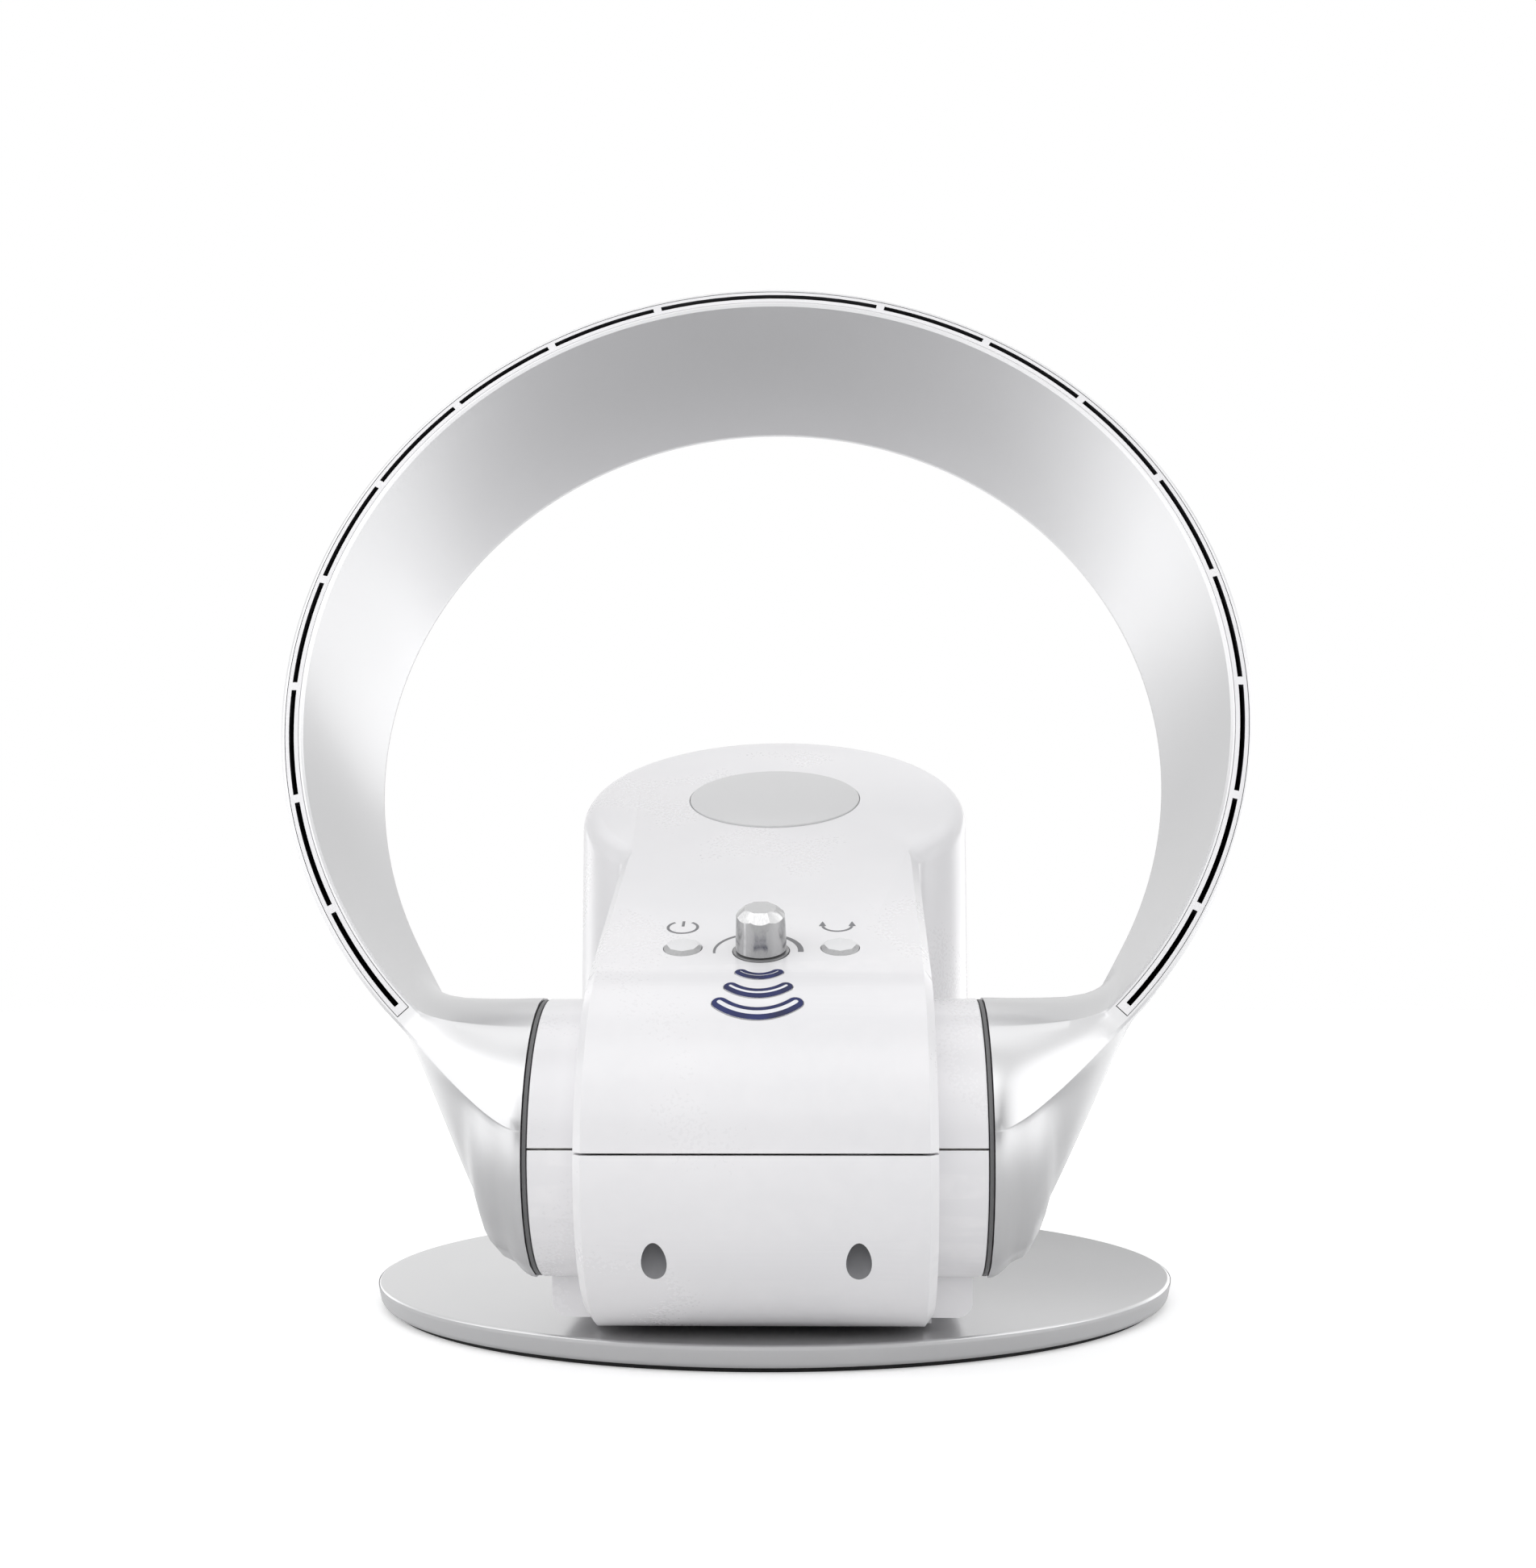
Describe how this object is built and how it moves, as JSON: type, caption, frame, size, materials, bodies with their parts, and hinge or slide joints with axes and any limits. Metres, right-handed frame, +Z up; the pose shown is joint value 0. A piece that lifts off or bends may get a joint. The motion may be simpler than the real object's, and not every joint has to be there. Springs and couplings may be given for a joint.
{
  "type": "bladeless fan",
  "caption": "Table-top bladeless fan: slotted air ring on hollow legs, tilting on a drum-fronted housing that swings on a low round base.",
  "frame": {"origin": "centre of the underside of the base, on the swing axis", "axes": "+Z up, the front of the fan faces -Y, +X to the right as seen from the front"},
  "size_m": [0.3376, 0.3394, 0.3855],
  "materials": {
    "white_plastic": "moulded, satin gloss",
    "silver_paint": "fine metallic silver paint on moulded plastic",
    "bright_metal": "polished",
    "steel": "plain",
    "dark_rubber": "matt",
    "black_plastic": "moulded",
    "grey_plastic": "satin",
    "window_tint": "clear, dark blue edge",
    "natural_plastic": "moulded",
    "circuit_board": "lacquered"
  },
  "bodies": {
    "base": {"base_cover": "silver_paint", "ballast_plate": "steel", "bottom_plate": "black_plastic", "foot_ring": "dark_rubber", "centre_pad": "dark_rubber", "glide_ring": "natural_plastic", "swing_gear": "natural_plastic", "base_screw_1": "steel", "base_screw_2": "steel", "base_screw_3": "steel"},
    "housing": {"lower_shell": "white_plastic", "upper_shell": "white_plastic", "intake_grille": "white_plastic", "air_tee": "natural_plastic", "scroll_case": "black_plastic", "scroll_cover": "black_plastic", "motor_cushion": "dark_rubber", "blower_motor": "steel", "swing_motor": "steel", "driver_board": "circuit_board", "power_inlet": "black_plastic", "trunnion_seal_left": "dark_rubber", "trunnion_seal_right": "dark_rubber", "front_screw_1": "steel", "front_screw_2": "steel", "rear_screw_1": "steel", "rear_screw_2": "steel", "indicator_low": "window_tint", "indicator_middle": "window_tint", "indicator_high": "window_tint", "badge_plate": "grey_plastic", "knob_collar": "black_plastic", "control_board": "circuit_board", "potentiometer": "steel"},
    "air_ring": {"nozzle_shell": "silver_paint", "nozzle_rim": "white_plastic", "pivot_sleeve_left": "natural_plastic", "pivot_sleeve_right": "natural_plastic"},
    "knob": {"speed_knob": "bright_metal", "knob_shaft": "steel"},
    "power_key": {"power_button": "grey_plastic"},
    "swing_key": {"swing_button": "grey_plastic"},
    "pinion": {"swing_pinion": "natural_plastic", "pinion_shaft": "steel"},
    "wheel": {"impeller": "black_plastic", "motor_shaft": "steel"}
  },
  "joints": [
    {"name": "swing", "type": "hinge", "parent": "base", "child": "housing", "pos_m": [0, 0, 0.0111], "axis": [0, 0, 1], "range_deg": [-40, 40]},
    {"name": "ring_tilt", "type": "hinge", "parent": "housing", "child": "air_ring", "pos_m": [0, -0.126, 0.0715], "axis": [-1, 0, 0], "range_deg": [-27, 73]},
    {"name": "speed_turn", "type": "hinge", "parent": "housing", "child": "knob", "pos_m": [0, -0.13806, 0.13227], "axis": [0, -0.4083, 0.9128], "range_deg": [0, 270]},
    {"name": "power_press", "type": "slide", "parent": "housing", "child": "power_key", "axis": [0, 0.4083, -0.9128], "range_m": [0, 0.001], "stiffness_N_per_m": 800, "springref_m": -0.001},
    {"name": "swing_press", "type": "slide", "parent": "housing", "child": "swing_key", "axis": [0, 0.4083, -0.9128], "range_m": [0, 0.001], "stiffness_N_per_m": 800, "springref_m": -0.001},
    {"name": "pinion_turn", "type": "hinge", "parent": "housing", "child": "pinion", "pos_m": [0, 0.042, 0.018], "axis": [0, 0, 1], "range_deg": [-100, 100]},
    {"name": "wheel_spin", "type": "hinge", "parent": "housing", "child": "wheel", "pos_m": [0, 0, 0.0715], "axis": [0, 0, 1], "continuous": true}
  ],
  "couplings": [
    {"joint": "pinion_turn", "follows": "swing", "ratio": 2.5}
  ]
}
